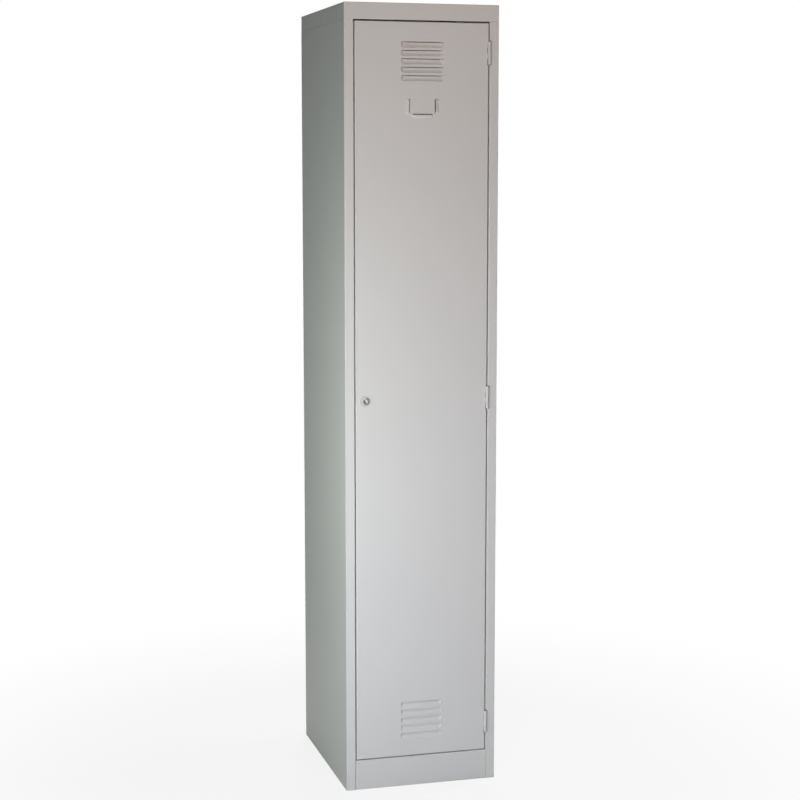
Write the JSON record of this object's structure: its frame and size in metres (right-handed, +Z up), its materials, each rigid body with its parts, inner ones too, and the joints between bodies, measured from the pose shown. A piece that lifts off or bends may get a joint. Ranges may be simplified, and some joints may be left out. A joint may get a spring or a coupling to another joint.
{
  "type": "metal locker",
  "caption": "Tall single-door steel clothes locker with pressed door vents, a card holder, knuckle hinges, a key cam lock, a hat shelf and a hanging rail.",
  "frame": {"origin": "centre of the bottom of the closed locker's box, on the floor", "axes": "+Z up along the height, -Y out of the door's front, +X to the hinge side as seen from the front"},
  "size_m": [0.37, 0.4554, 1.85],
  "materials": {
    "grey_paint": "light grey powder coat, low sheen",
    "chromed_lock": "bright chrome plate",
    "plain_steel": "zinc-plated steel",
    "black_plastic": "black moulded plastic",
    "bumper_rubber": "black rubber"
  },
  "bodies": {
    "carcass": {"left_side_panel": "grey_paint", "right_side_panel": "grey_paint", "back_panel": "grey_paint", "top_cap": "grey_paint", "head_stop_rail": "grey_paint", "front_plinth": "grey_paint", "floor_panel": "grey_paint", "hat_shelf": "grey_paint", "hanging_rail": "plain_steel", "rail_bracket_left": "plain_steel", "rail_bracket_right": "plain_steel", "rail_end_cap_left": "black_plastic", "rail_end_cap_right": "black_plastic", "bracket_rivet_left_front": "plain_steel", "bracket_rivet_left_rear": "plain_steel", "bracket_rivet_right_front": "plain_steel", "bracket_rivet_right_rear": "plain_steel", "door_bumper_upper": "bumper_rubber", "door_bumper_lower": "bumper_rubber", "hinge_top_frame_leaf": "grey_paint", "hinge_middle_frame_leaf": "grey_paint", "hinge_bottom_frame_leaf": "grey_paint", "hinge_top_pin": "plain_steel", "hinge_middle_pin": "plain_steel", "hinge_bottom_pin": "plain_steel"},
    "door": {"door_panel": "grey_paint", "door_stiffener": "grey_paint", "hinge_top_door_leaf": "grey_paint", "hinge_middle_door_leaf": "grey_paint", "hinge_bottom_door_leaf": "grey_paint", "lock_housing": "chromed_lock", "lock_nut": "plain_steel"},
    "lock": {"lock_plug": "chromed_lock", "lock_cam": "plain_steel", "cam_screw": "plain_steel"}
  },
  "joints": [
    {"name": "door_hinge", "type": "hinge", "parent": "carcass", "child": "door", "pos_m": [0.16125, -0.22385, 0.937], "axis": [0, 0, 1], "range_deg": [0, 170]},
    {"name": "lock_turn", "type": "hinge", "parent": "door", "child": "lock", "pos_m": [-0.1375, -0.22235, 0.937], "axis": [0, 1, 0], "range_deg": [0, 90]}
  ]
}
